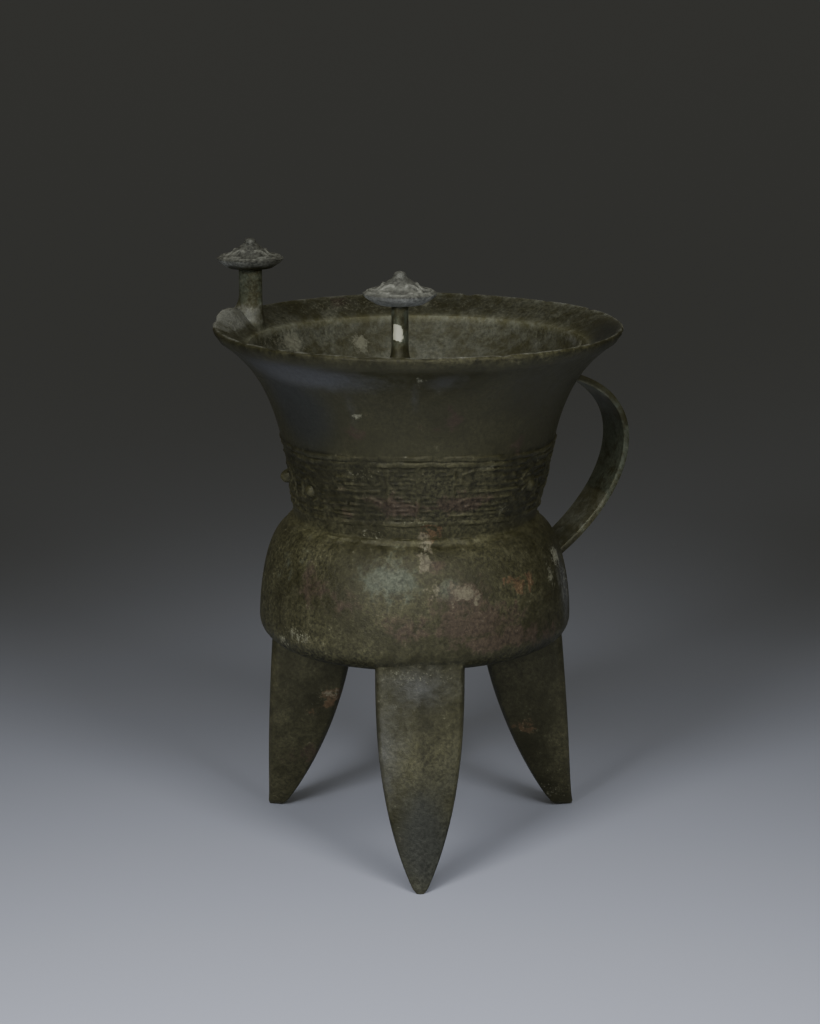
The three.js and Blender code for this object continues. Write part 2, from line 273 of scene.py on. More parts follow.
# How near points are joined or count as the rim's, and which edges stay sharp
SLIVER = 0.02
RIM_MATCH = 0.005
SHARP_ANGLE = 38.0


def smooth(value, start, end):
    share = np.clip((value - start) / (end - start), 0, 1)
    return share * share * (3 - 2 * share)


def between(value, rise_start, rise_end, fall_start, fall_end):
    """A share that rises to 1 and falls again."""
    return smooth(value, rise_start, rise_end) * (1 - smooth(value, fall_start, fall_end))


def bell(value, middle, reach):
    return np.exp(-((value - middle) / reach) ** 2)


def mix(start, end, share):
    return start + (end - start) * share


def turned_from(azimuth, middle):
    return (azimuth - middle + 180) % 360 - 180


def placed(azimuth, out, across, height):
    """Points seen along an azimuth: out from the axis, across to its right, and up."""
    turn = math.radians(azimuth)
    x = out * math.sin(turn) + across * math.cos(turn)
    y = -out * math.cos(turn) + across * math.sin(turn)
    return np.stack(np.broadcast_arrays(x, y, height), -1)


def sag(azimuth, height):
    """The lines dip between the mould seams, most at the top of the band."""
    amount = mix(SAG_BOTTOM, SAG_TOP, smooth(height, SHOULDER_LINE, TOP_LINES[0]))
    return amount * np.cos(3 * np.radians(azimuth))


def neck_radius(height):
    rise = (height - WAIST_HEIGHT) / NECK_RISE
    return WAIST_RADIUS + NECK_TAPER * rise + NECK_FLARE * np.maximum(rise, 0) ** NECK_FLARE_POWER


def inner_neck_radius(height):
    slope = neck_radius(height + 0.5) - neck_radius(height - 0.5)
    return neck_radius(height) - WALL * np.hypot(1, slope)


def arc(centre, reach, angles, count):
    angle = np.radians(np.linspace(*angles, count))
    return np.stack([centre[0] + reach[0] * np.cos(angle), centre[1] + reach[1] * np.sin(angle)], 1)


def line(start, end, count):
    return np.linspace(start, end, count)


def level_line(radii, height, count):
    return line((radii[0], height), (radii[1], height), count)


def along_neck(start, end, count, radius_at):
    height = np.linspace(start, end, count)
    return np.stack([radius_at(height), height], 1)


def outer_profile():
    """Rows (radius, height) from the underside to the lip, and each row's number of columns."""
    flat = BELLY_RADIUS - BOTTOM_CORNER
    corner_reach = (BOTTOM_CORNER, BELLY_HEIGHT - FLOOR_UNDERSIDE)
    shoulder_reach = (BELLY_RADIUS - WAIST_RADIUS, SHOULDER_HEIGHT - BELLY_HEIGHT)
    waist_start = (WAIST_RADIUS + WAIST_EASE_OUT[0], WAIST_EASE_HEIGHTS[0])
    waist_end = (WAIST_RADIUS + WAIST_EASE_OUT[1], WAIST_EASE_HEIGHTS[1])
    lower = np.concatenate([
        level_line([flat * share for share in UNDERSIDE_RINGS], FLOOR_UNDERSIDE, UNDERSIDE_ROWS),
        arc((flat, BELLY_HEIGHT), corner_reach, (-90, 0), CORNER_ROWS),
        arc((WAIST_RADIUS, BELLY_HEIGHT), shoulder_reach, SHOULDER_ARC, SHOULDER_ROWS),
        line(waist_start, waist_end, WAIST_ROWS),
    ])
    band = along_neck(BAND_GRID_BOTTOM, BAND_GRID_TOP, BAND_ROWS, neck_radius)
    under_start = (RIM_RADIUS - LIP_UNDER_INSET, LIP_UNDERSIDE - LIP_UNDER_DROP)
    lip_reach = (RIM_RADIUS - LIP_TOP_RADIUS, LIP_TOP - LIP_EDGE)
    upper = np.concatenate([
        along_neck(BAND_GRID_TOP + NECK_ROW_GAP, NECK_TOP, NECK_ROWS, neck_radius),
        line(under_start, (RIM_RADIUS - LIP_BEVEL, LIP_UNDERSIDE), 2),
        arc((LIP_TOP_RADIUS, LIP_EDGE), lip_reach, (0, 90), LIP_ROWS),
        level_line(BLANK_TOP_RADII, LIP_TOP, 2),
    ])
    columns = [COARSE_COLUMNS] * len(lower) + [FINE_COLUMNS] * len(band) + [COARSE_COLUMNS] * len(upper)
    return np.concatenate([lower, band, upper]), columns


def on_lip_slope(share):
    """A point of the lip's inner slope, from the crease (0) to the edge (1) and on past it."""
    return mix(CREASE_RADIUS, LIP_TOP_RADIUS, share), mix(CREASE_HEIGHT, LIP_TOP, share)


def cavity_profile():
    """Rows from the floor's middle up the inside of the wall and out past the lip."""
    flat = BELLY_RADIUS - WALL - BOTTOM_CORNER
    corner_reach = (BOTTOM_CORNER, BELLY_HEIGHT - FLOOR_TOP)
    shoulder_reach = (BELLY_RADIUS - WAIST_RADIUS, SHOULDER_HEIGHT - WALL - BELLY_HEIGHT)
    flare_radius = float(inner_neck_radius(INNER_FLARE_TOP))
    half_way = (mix(flare_radius, CREASE_RADIUS, 0.5), mix(INNER_FLARE_TOP, CREASE_HEIGHT, 0.5))
    slope_start, past_lip = (on_lip_slope(share) for share in LIP_SLOPE_SHARES)
    rows = np.concatenate([
        level_line([flat * share for share in INNER_FLOOR_RINGS], FLOOR_TOP, INNER_FLOOR_ROWS),
        arc((flat, BELLY_HEIGHT), corner_reach, (-90, 0), INNER_CORNER_ROWS),
        arc((WAIST_RADIUS - WALL, BELLY_HEIGHT), shoulder_reach, INNER_SHOULDER_ARC, INNER_SHOULDER_ROWS),
        along_neck(WAIST_HEIGHT, INNER_FLARE_TOP, INNER_NECK_ROWS, inner_neck_radius),
        line(half_way, (CREASE_RADIUS, CREASE_HEIGHT), 2),
        line(slope_start, past_lip, INNER_LIP_ROWS),
        level_line([past_lip[0] * share for share in CAVITY_TOP_SHARES], past_lip[1], 2),
    ])
    return rows, [COARSE_COLUMNS] * len(rows)


def stroke_distance(across, up, path):
    """Distance of every point from a line through the path's points."""
    nearest = np.full(across.shape, np.inf)
    for start, end in zip(path[:-1], path[1:]):
        run = np.array(end) - start
        share = ((across - start[0]) * run[0] + (up - start[1]) * run[1]) / (run @ run)
        share = np.clip(share, 0, 1)
        gap = np.hypot(across - start[0] - share * run[0], up - start[1] - share * run[1])
        nearest = np.minimum(nearest, gap)
    return nearest


def raised(distance, half_width, relief):
    return relief * (1 - smooth(distance, half_width - STROKE_CROWN, half_width + STROKE_EASE))


def grid_noise(azimuth, height, cells, seed):
    """Smooth random values from 0 to 1 that wrap round the vessel."""
    cells_round, cell_height = cells
    values = np.random.default_rng(seed).random((NOISE_ROWS, cells_round))
    across = azimuth % 360 / 360 * cells_round
    up = height / cell_height % (NOISE_ROWS - 1)
    left = np.floor(across).astype(int)
    low = np.floor(up).astype(int)
    across_share = smooth(across - left, 0, 1)
    up_share = smooth(up - low, 0, 1)
    right = (left + 1) % cells_round
    left = left % cells_round
    bottom = mix(values[low, left], values[low, right], across_share)
    top = mix(values[low + 1, left], values[low + 1, right], across_share)
    return mix(bottom, top, up_share)


def filler_relief(azimuth, up):
    """Fine broken lines between the masks' main lines."""
    row = np.floor(up / FILLER_PITCH + 0.5)
    ridge = abs(up - row * FILLER_PITCH)
    along = np.radians(azimuth) * BAND_RADIUS / FILLER_DASH
    dash = np.cos(2 * math.pi * along + row * FILLER_STAGGER)
    return raised(ridge, FILLER_HALF_WIDTH, FILLER_RELIEF) * smooth(dash, *FILLER_BREAK)


def rubbing(azimuth, height):
    """How much of the relief the wear of ages has left."""
    rubbed = grid_noise(azimuth, height, RUB_CELLS, RUB_SEED) * RUB_SHARE
    rubbed = rubbed + grid_noise(azimuth, height, FINE_RUB_CELLS, FINE_RUB_SEED) * FINE_RUB_SHARE
    return mix(*RUB_LEFT, smooth(rubbed, *RUB_RANGE))


def band_relief(azimuth, height):
    """How far the cast decoration stands out of the neck's wall."""
    level = height - sag(azimuth, height)
    level = level + WANDER * (grid_noise(azimuth, height, WANDER_UP_CELLS, WANDER_UP_SEED) - 0.5)
    sideways = grid_noise(azimuth, height, WANDER_ROUND_CELLS, WANDER_ROUND_SEED) - 0.5
    azimuth = azimuth + WANDER * sideways
    lines = raised(abs(level - SHOULDER_LINE), SHOULDER_LINE_HALF_WIDTH, SHOULDER_LINE_RELIEF)
    for middle in TOP_LINES + (BOTTOM_LINE,):
        lines = np.maximum(lines, raised(abs(level - middle), LINE_HALF_WIDTH, LINE_RELIEF))
    up = level - BAND_MIDDLE
    pattern = filler_relief(azimuth, up)
    for middle, spread in MASKS:
        across = abs(np.radians(turned_from(azimuth, middle)) * BAND_RADIUS / spread)
        for path in MASK_STROKES:
            gap = stroke_distance(across, up, path)
            pattern = np.maximum(pattern, raised(gap, STROKE_HALF_WIDTH, STROKE_RELIEF))
    for seam in SEAMS:
        away = abs(np.radians(turned_from(azimuth, seam)) * BAND_RADIUS)
        pattern = np.maximum(pattern, raised(away, SEAM_HALF_WIDTH, STROKE_RELIEF))
    inside = (level > BOTTOM_LINE) & (level < TOP_LINES[0])
    relief = rubbing(azimuth, height) * np.maximum(lines, np.where(inside, pattern, 0))
    for eye, boss, eye_up in EYES:
        away = np.radians(turned_from(azimuth, eye)) * BAND_RADIUS
        from_eye = np.hypot(away, up - eye_up) / EYE_RADIUS
        relief = np.maximum(relief, boss * np.sqrt(np.clip(1 - from_eye ** 2, 0, 1)))
    return relief


def make_waves():
    draw = np.random.default_rng(WAVE_SEED)
    cycles = draw.integers(*WAVE_CYCLES, WAVE_COUNT)
    rise = draw.uniform(-WAVE_RISE, WAVE_RISE, WAVE_COUNT)
    phase = draw.uniform(0, 2 * math.pi, WAVE_COUNT)
    share = draw.uniform(*WAVE_SHARES, WAVE_COUNT) / np.sqrt(WAVE_COUNT) * WAVE_GAIN
    return list(zip(cycles, rise, phase, share))


def swell(azimuth, height, waves):
    """Slow unevenness of the hand-made mould."""
    turn = np.radians(azimuth)
    total = np.zeros(np.broadcast(azimuth, height).shape)
    for cycles, rise, phase, share in waves:
        total += share * np.sin(cycles * turn + rise * height + phase)
    return SWELL * total


def lip_nicks(azimuth, height):
    """Small losses along the edge of the mouth."""
    loss = smooth(grid_noise(azimuth, height, NICK_CELLS, NICK_SEED), *NICK_RANGE)
    return NICK_DEPTH * loss * smooth(height, NICK_BOTTOM, LIP_UNDERSIDE)


def pad_share(azimuth):
    return bell(turned_from(azimuth, PAD_AZIMUTH), 0, PAD_SPREAD)


def mesh_object(name, points, faces):
    mesh = bpy.data.meshes.new(name)
    mesh.from_pydata((np.asarray(points) * MM).tolist(), [], faces)
    mesh.validate()
    piece = bpy.data.objects.new(name, mesh)
    bpy.context.scene.collection.objects.link(piece)
    return piece


def ring_faces(lower, upper, lower_count, upper_count):
    """Faces between two rings whose counts are equal or differ by two times."""
    if lower_count > upper_count:
        turned_over = ring_faces(upper, lower, upper_count, lower_count)
        return [face[::-1] for face in turned_over]
    faces = []
    for i in range(lower_count):
        j = (i + 1) % lower_count
        if lower_count == upper_count:
            faces.append((lower + i, lower + j, upper + j, upper + i))
        else:
            middle = upper + 2 * i + 1
            last = upper + (2 * i + 2) % upper_count
            faces.append((lower + i, middle, upper + 2 * i))
            faces.append((lower + i, lower + j, middle))
            faces.append((lower + j, last, middle))
    return faces


def stacked(name, rings, start_point, end_point):
    """A closed solid through rings of points, with a point closing either end."""
    counts = [len(ring) for ring in rings]
    starts = np.concatenate([[1], 1 + np.cumsum(counts)])
    faces = []
    for i in range(counts[0]):
        faces.append((0, 1 + (i + 1) % counts[0], 1 + i))
    for row in range(len(rings) - 1):
        faces += ring_faces(int(starts[row]), int(starts[row + 1]), counts[row], counts[row + 1])
    top = int(starts[-1])
    last = int(starts[-2])
    for i in range(counts[-1]):
        faces.append((top, last + i, last + (i + 1) % counts[-1]))
    points = np.concatenate([[start_point], *rings, [end_point]])
    return mesh_object(name, points, faces)


def closed_by_middles(name, rings):
    return stacked(name, rings, rings[0].mean(0), rings[-1].mean(0))


def turned_solid(name, profile, columns, relief):
    """A lathe solid whose rows are pushed along their normals by relief(azimuth, height)."""
    tangent = np.gradient(profile, axis=0)
    normal = np.stack([tangent[:, 1], -tangent[:, 0]], 1)
    normal /= np.linalg.norm(normal, axis=1, keepdims=True)
    rings = []
    for (row_radius, row_height), (out, up), count in zip(profile, normal, columns):
        azimuth = np.arange(count) * 360 / count
        push = relief(azimuth, row_height)
        radius = row_radius + out * push
        height = row_height + up * push
        height = height + PAD_LIFT * pad_share(azimuth) * smooth(row_height, PAD_BOTTOM, LIP_EDGE)
        turn = np.radians(azimuth)
        shift = BELLY_SHIFT * (1 - smooth(height, SHIFT_BOTTOM, SHIFT_TOP))
        rings.append(np.stack([radius * np.sin(turn) + shift, -radius * np.cos(turn), height], 1))
    return stacked(name, rings, (BELLY_SHIFT, 0, profile[0, 1]), (0, 0, profile[-1, 1]))


def rounded_ring(corners, cut):
    """A closed outline whose corners are eased by up to the cut."""
    points = []
    for i, corner in enumerate(corners):
        ends = []
        for other in (corners[i - 1], corners[(i + 1) % len(corners)]):
            run = other - corner
            length = np.linalg.norm(run) + TINY
            ends.append(corner + run / length * min(cut, EASE_LIMIT * length))
        middle = (ends[0] + 2 * corner + ends[1]) / 4
        points += [ends[0], middle, ends[1]]
    return np.array(points)


def make_leg(name, azimuth, foot, top, tip, bow):
    rings = []
    for height in LEG_TOP * np.linspace(0, 1, LEG_ROWS) ** LEG_ROW_POWER:
        rise = min((height + LEG_BLUNT) / LEG_FULL, 1)
        size = (1 - (1 - rise) ** LEG_TAPER_POWER) ** LEG_TAPER_EASE
        depth = mix(tip, LEG_DEPTH, 1 - (1 - rise) ** bow)
        ridge = mix(foot, top, min(height / LEG_REACH, 1) ** LEG_SPLAY_POWER)
        corner = ridge - LEG_RIDGE * size
        back = corner - LEG_CORNER * depth
        inner = ridge - depth
        wide = LEG_HALF_WIDTH * size
        narrow = LEG_CORNER * wide
        half = [(corner, wide - narrow / 2), (back, wide), (inner, narrow)]
        other_half = [(out, -across) for out, across in reversed(half)]
        outline = np.array([(ridge, 0.0)] + half + other_half)
        worn = mix(TIP_WEAR, 0, math.sqrt(min(height / TIP_ROUNDING, 1)))
        outline = outline + worn * (outline.mean(0) - outline)
        ring = rounded_ring(outline, LEG_ROUNDING * size)
        rings.append(placed(azimuth, ring[:, 0], ring[:, 1], height))
    return closed_by_middles(name, rings)


def make_handle():
    """A strap swept along a Bezier curve in the plane of its azimuth."""
    share = np.linspace(0, 1, HANDLE_STEPS)[:, None]
    weights = ((1 - share) ** 3, 3 * share * (1 - share) ** 2, 3 * share ** 2 * (1 - share), share ** 3)
    path = sum(weight * np.array(point) for weight, point in zip(weights, HANDLE_CURVE))
    tangent = np.gradient(path, axis=0)
    tangent /= np.linalg.norm(tangent, axis=1, keepdims=True)
    normal = np.stack([-tangent[:, 1], tangent[:, 0]], 1)
    wide = HANDLE_WIDTH / 2
    thick = HANDLE_THICKNESS / 2
    outline = np.array([(-wide, -thick), (wide, -thick), (wide, thick), (-wide, thick)])
    section = rounded_ring(outline, HANDLE_ROUNDING)
    rings = []
    for middle, side in zip(path, normal):
        out = middle[0] + side[0] * section[:, 1]
        height = middle[1] + side[1] * section[:, 1]
        rings.append(placed(HANDLE_AZIMUTH, out, section[:, 0], height))
    return closed_by_middles("handle", rings)


def lip_height(radius):
    slope = (LIP_TOP - CREASE_HEIGHT) / (LIP_TOP_RADIUS - CREASE_RADIUS)
    return CREASE_HEIGHT + slope * (radius - CREASE_RADIUS)


def make_post(name, post):
    """A shaft with a flared foot that follows the slope of the lip."""
    radius = post["radius"]
    turn = np.radians(np.arange(POST_SIDES) * 360 / POST_SIDES)
    bottom = lip_height(radius) - POST_SINK
    lean = lip_height(radius + 1) - lip_height(radius)
    top = CAP_UNDERSIDE + POST_SINK / 2 - post["drop"]
    rings = []
    for level in (top - bottom) * np.linspace(0, 1, POST_ROWS) ** POST_ROW_POWER:
        down = max(1 - level / post["flare_height"], 0)
        spread = post["flare"] * down ** 2
        out = (POST_RADIAL + spread * np.where(np.cos(turn) > 0, 1, INNER_FLARE)) * np.cos(turn)
        across = (POST_TANGENT + spread) * np.sin(turn)
        height = bottom + level + out * lean * down
        rings.append(placed(post["azimuth"], radius + out, across, height))
    return closed_by_middles(name, rings)


def cap_relief(azimuth, share):
    """Facing pairs of curls round the cone, and a line inside the brim."""
    relief = np.zeros(np.broadcast(azimuth, share).shape)
    for number in range(CAP_CURLS):
        side = 1 if number % 2 else -1
        across = turned_from(azimuth, (number + 0.5) * 360 / CAP_CURLS) / CURL_REACH[0]
        up = (share - CURL_MIDDLE) / CURL_REACH[1]
        ring = 1 - smooth(abs(np.hypot(across, up) - 1), *CURL_EDGE)
        closed = smooth(-side * across, *CURL_OPENING)
        relief = np.maximum(relief, CURL_RELIEF * ring * closed)
    brim_line = BRIM_LINE_RELIEF * (1 - smooth(abs(share - BRIM_LINE_MIDDLE), *BRIM_LINE_EDGE))
    return np.maximum(relief, brim_line)


def make_cap(name, post):
    """A cone with a brim and a knob, on top of a post."""
    cap = post["cap"]
    cone_start = cap - CAP_BRIM_INSET
    share = np.linspace(0, 1, CAP_ROWS)
    cone_radius = mix(cone_start, KNOB_FOOT, share)
    bend_radii = [cap * part for part, height in CAP_BEND]
    bend_heights = [height for part, height in CAP_BEND]
    cone_height = np.interp(cone_radius, [KNOB_FOOT, *bend_radii, cone_start],
                            [CAP_KNOB, *bend_heights, CAP_BRIM + CAP_BRIM_RISE])
    turn = np.radians(np.arange(CAP_COLUMNS) * 360 / CAP_COLUMNS)
    rows = [(out, height, 0) for out, height in CAP_UNDER_MIDDLE]
    rows += [(cap - inset, height, 0) for inset, height in CAP_UNDER_EDGE]
    rows.append((cap, CAP_BRIM, 0))
    for out, height, along in zip(cone_radius, cone_height, share):
        rows.append((out, height, cap_relief(np.degrees(turn), along)))
    rows += [(out, height, 0) for out, height in KNOB]
    centre = placed(post["azimuth"], post["radius"], 0.0, -post["drop"])
    rings = []
    for out, height, lift in rows:
        ring = np.broadcast_arrays(out * np.sin(turn), -out * np.cos(turn), height + lift)
        rings.append(centre + np.stack(ring, 1))
    return stacked(name, rings, centre + (0, 0, CAP_UNDERSIDE), centre + (0, 0, CAP_TOP))


def combine(piece, other, operation):
    step = piece.modifiers.new(operation, "BOOLEAN")
    step.operation = operation
    step.solver = "MANIFOLD"
    step.object = other
    bpy.context.view_layer.objects.active = piece
    bpy.ops.object.modifier_apply(modifier=step.name)
    bpy.data.objects.remove(other)


def drop_slivers(piece):
    """Removes the faces of no area, and those lying back to back, that the joins leave."""
    shape = bmesh.new()
    shape.from_mesh(piece.data)
    bmesh.ops.remove_doubles(shape, verts=shape.verts, dist=SLIVER * MM)
    bmesh.ops.dissolve_degenerate(shape, edges=shape.edges, dist=SLIVER * MM)
    many_sided = [face for face in shape.faces if len(face.verts) > 4]
    bmesh.ops.triangulate(shape, faces=many_sided)
    on_corners = {}
    for face in shape.faces:
        on_corners.setdefault(frozenset(face.verts), []).append(face)
    back_to_back = [face for faces in on_corners.values() if len(faces) > 1 for face in faces]
    bmesh.ops.delete(shape, geom=back_to_back, context="FACES_ONLY")
    shape.to_mesh(piece.data)
    shape.free()


def vessel_axis():
    """The middle of the mouth's rim in the CAD solid, in metres."""
    cad = bpy.context.scene.objects[NODE]
    rim = [v.co for v in cad.data.vertices if abs(v.co.z - LIP_EDGE * MM) < RIM_MATCH * MM]
    x = [p.x for p in rim]
    y = [p.y for p in rim]
    return Vector(((min(x) + max(x)) / 2, (min(y) + max(y)) / 2, 0))


def make_vessel(axis):
    waves = make_waves()

    def outside(azimuth, height):
        relief = band_relief(azimuth, np.full(azimuth.shape, height))
        return relief + swell(azimuth, height, waves) - lip_nicks(azimuth, height)

    def inside(azimuth, height):
        bulge = PAD_SWELL * pad_share(azimuth) * bell(height, PAD_MIDDLE, PAD_REACH)
        return swell(azimuth, height + INNER_WAVE_OFFSET, waves) - bulge

    vessel = turned_solid("jia_bronze", *outer_profile(), outside)
    for number, leg in enumerate(LEGS):
        combine(vessel, make_leg(f"leg_{number}", **leg), "UNION")
    combine(vessel, make_handle(), "UNION")
    combine(vessel, turned_solid("cavity", *cavity_profile(), inside), "DIFFERENCE")
    for number, post in enumerate(POSTS):
        combine(vessel, make_post(f"post_{number}", post), "UNION")
        combine(vessel, make_cap(f"cap_{number}", post), "UNION")
    drop_slivers(vessel)
    vessel.data.transform(Matrix.Translation(axis))
    for polygon in vessel.data.polygons:
        polygon.use_smooth = True
    vessel.data.set_sharp_from_angle(angle=math.radians(SHARP_ANGLE))
    return vessel


# Colours
OLIVE_DARK = (0.026, 0.025, 0.010)
OLIVE = (0.067, 0.065, 0.033)
# Dark blue-grey patina, also used as painted shade on the front leg
BLUE_GREY = (0.035, 0.037, 0.030)
# Pale blue-grey, used for painted reflections of the floor and painted light, and for some haze
HAZE_AND_SHEEN = (0.086, 0.089, 0.088)
GREEN = (0.068, 0.076, 0.052)
RUST = (0.057, 0.041, 0.027)
BROWN = (0.092, 0.060, 0.030)
TAN = (0.130, 0.118, 0.078)
GREY = (0.195, 0.2, 0.175)
CRUST = (0.25, 0.25, 0.18)
INSIDE = (0.140, 0.145, 0.110)
WHITE = (0.55, 0.55, 0.42)
PAPER = (0.352, 0.373, 0.446)
ROOM = (0.091, 0.087, 0.068)

# Patina marks, with some painted reflections, highlights and shade: kind, azimuth, height, reach across,
# reach up, strength
OUTER_MARKS = (
    # Neck
    # The pale blue-grey marks under the lip are a painted reflection of the pale floor.
    ("haze", -38, 199.5, 34, 5.5, 1.2),
    ("haze", 8, 200, 10, 5, 0.6),
    ("haze", -1, 193, 2.2, 9, 0.5),
    ("haze", -24, 188, 3, 12, 0.45),
    ("blue", -50, 184, 22, 22, 1.0),
    ("crust", 0.5, 200.6, 1.6, 3, 0.8),
    ("crust", -22.5, 183.9, 2.6, 1.3, 0.9),
    ("rust", 10.8, 182.5, 9, 7, 0.62),
    ("rust", 45, 171.4, 6, 8, 0.62),
    ("rust", -26, 176, 9, 8, 0.5),
    # Band
    ("rust", -33, 147, 10, 8, 0.5),
    ("rust", -9.5, 147.6, 16, 6, 0.8),
    ("rust", 18.6, 148.8, 16, 5, 0.8),
    ("crust", -24, 160, 9, 4, 0.42),
    ("crust", -21, 136, 9, 3, 0.4),
    ("crust", -1, 141.5, 7, 2, 0.45),
    ("crust", 30, 163, 8, 3, 0.4),
    ("crust", 42, 145, 5, 4, 0.45),
    ("brown", 6, 137.5, 5, 5, 0.9),
    ("tan", 4, 136, 4, 4, 0.75),
    # Belly
    ("tan", 3, 129, 3.5, 7, 0.8),
    ("tan", 17, 115, 11, 7, 0.6),
    ("tan", 7, 119, 5, 6, 0.5),
    ("green", -11, 121, 16, 12, 0.75),
    ("green", 12, 117, 8, 7, 0.8),
    ("green", -57, 122, 14, 14, 0.5),
    ("rust", 6, 126.5, 7, 5, 0.7),
    ("rust", 17, 113, 14, 10, 0.85),
    ("rust", 22, 104, 22, 8, 0.9),
    ("rust", 34, 97, 28, 6, 0.9),
    ("rust", 54, 95, 18, 6, 0.7),
    ("rust", -42, 115, 9, 9, 0.7),
    ("rust", -28, 111, 12, 6, 0.6),
    ("rust", -3, 103, 15, 7, 0.65),
    ("brown", 42, 117, 14, 6, 0.6),
    ("crust", 2.5, 131, 3, 3, 0.55),
    ("crust", 72, 121, 6, 5, 0.85),
    ("crust", 62, 116, 4, 9, 0.5),
    ("crust", 78, 108, 7, 14, 0.5),
    ("crust", -47, 96, 10, 4, 0.55),
    ("crust", -56, 91, 5, 4, 0.6),
    # A painted rim highlight and painted light on the shaded far right of the belly.
    ("grey", 72, 110, 6, 13, 0.45),
    ("haze", 76, 108, 9, 18, 0.85),
    # Handle
    ("green", 114, 150, 16, 40, 0.9),
    # Legs
    ("crust", 0, 84, 20, 4, 0.5),
    ("haze", 0, 80, 20, 10, 0.6),
    # Painted light on the front leg's left face and painted shade on its right face.
    ("haze", -8, 58, 7, 24, 0.95),
    ("blue", 9, 52, 7, 30, 0.75),
    ("blue", 2, 20, 14, 28, 1.0),
    ("brown", -7, 37, 3, 4, 0.6),
    ("brown", -117, 50, 8, 7, 0.6),
    ("crust", -116, 53, 5, 4, 0.5),
    ("rust", -118, 26, 7, 8, 0.6),
    ("brown", 115, 39, 6, 5, 0.45),
    ("crust", 118, 8, 8, 6, 0.4),
    # Lip
    ("crust", 88, 209.5, 7, 2.5, 1.1),
)
INNER_MARKS = (
    ("crust", 202.7, 193, 4.5, 4.5, 1.1),
    ("crust", 233, 196, 7, 5, 1.0),
    ("crust", 101, 200, 4, 3, 0.9),
    ("crust", 190, 207, 60, 4, 0.5),
    ("crust", 245, 199, 34, 7, 0.5),
    ("rust", 205, 208, 9, 3, 0.6),
    ("blue", 80, 207, 40, 5, 1.0),
    ("grey", 110, 201, 12, 2, 0.9),
)

# Where the inside of the bowl is looked for, and when a face counts as facing up or outwards
FACING = 0.5
INSIDE_HEIGHTS = (FLOOR_TOP - 1, LIP_TOP + 2)
INNER_CORNER_TOP = FLOOR_TOP + 8
INNER_FLOOR_RADIUS = BELLY_RADIUS - WALL + 1

# Forms that weather in their own way, and forms that carry painted highlights and light. Heights are where
# a share starts and ends its rise and its fall.
CREASE_LINE = 0.8
LIP_LINE = 1.0
LIP_LINING = 0.7
LINING_CHANGE = (CREASE_HEIGHT - 0.5, CREASE_HEIGHT + 1)
PAD_PATINA_AZIMUTH = -99.0
PAD_PATINA_SPREAD = 16.0
PAD_HEIGHTS = (LIP_UNDERSIDE - 3, LIP_UNDERSIDE, LIP_TOP + 2, LIP_TOP + 8)
SHAFT_HEIGHTS = (LIP_TOP + 1, LIP_TOP + 4, CAP_UNDERSIDE - 2, CAP_UNDERSIDE)
CAP_HEIGHTS = (CAP_UNDERSIDE - 0.5, CAP_UNDERSIDE + 0.5)
HANDLE_INNER_RADIUS = 68.0
HANDLE_TOP = 189.0
SATIN_HEIGHTS = (164, 170, 205, 209)
LEG_TONE_HEIGHTS = (78, 90)
UNDER_BELLY_HEIGHTS = (84, 85.5, 87, 93)
BEFORE_LEG_TURN = (14, 18)
FRONT_FOOT_TURN = (20, 30)
FRONT_FOOT_HEIGHTS = (20, 64)
FRONT_FOOT_MATT = 0.55
# The pale patch on the front post: azimuth, height, and reach in degrees and millimetres
PATCH_AZIMUTH = -6.2
PATCH_HEIGHT = 219.0
PATCH_REACH = (2.2, 3.4)
PATCH_TURN = 4.0
PATCH_RADIUS = 70.0
# How strongly a form takes on a patina, and how much lighter it is rubbed or painted: on the crease and the
# lip's edge the lightening is a painted highlight, on the handle painted light
FORM_COVER = (
    ("pad", "grey", 0.85),
    ("pad", "crust", 0.35),
    # The grey on the lip's edge is a painted highlight line.
    ("lip_edge", "grey", 0.6),
    ("shaft", "green", 0.6),
    ("shaft", "crust", 0.25),
    ("caps", "grey", 0.85),
)
FORM_WEAR_AND_HIGHLIGHT = (("crease", 1.2), ("lip_edge", 0.5), ("shaft", 0.55), ("pad", 0.35), ("handle", 0.3))
# Painted shade in the band's ground and painted highlights on its raised lines
BAND_SHADE_AND_HIGHLIGHT = (-0.22, 0.3)
BAND_SHADING_TOP = TOP_LINES[1] + 1
CAP_WEAR = (-0.24, 0.6)
CAP_WEAR_OUT = 1.0
CAP_WEAR_DOWN = 0.5
# Painted highlight along the shoulder line
SHOULDER_HIGHLIGHT = 0.35
SHOULDER_HIGHLIGHT_HEIGHT = SHOULDER_LINE + 0.6
SHOULDER_HIGHLIGHT_REACH = 1.3
# Painted shade where the legs meet the belly
JOINT_SHADE = 0.25
JOINT_HEIGHT = 89.4
JOINT_REACH = 0.7
STREAK_SHADE = 0.4
STREAK_AZIMUTH = FRONT_LEG_AZIMUTH + 0.6
STREAK_REACH = 0.9
STREAK_HEIGHTS = (40, 52, 74, 80)
# Points this near the neck's wall belong to the band and to the shoulder
BAND_NEAR = 4.0
SHOULDER_NEAR = 6.0


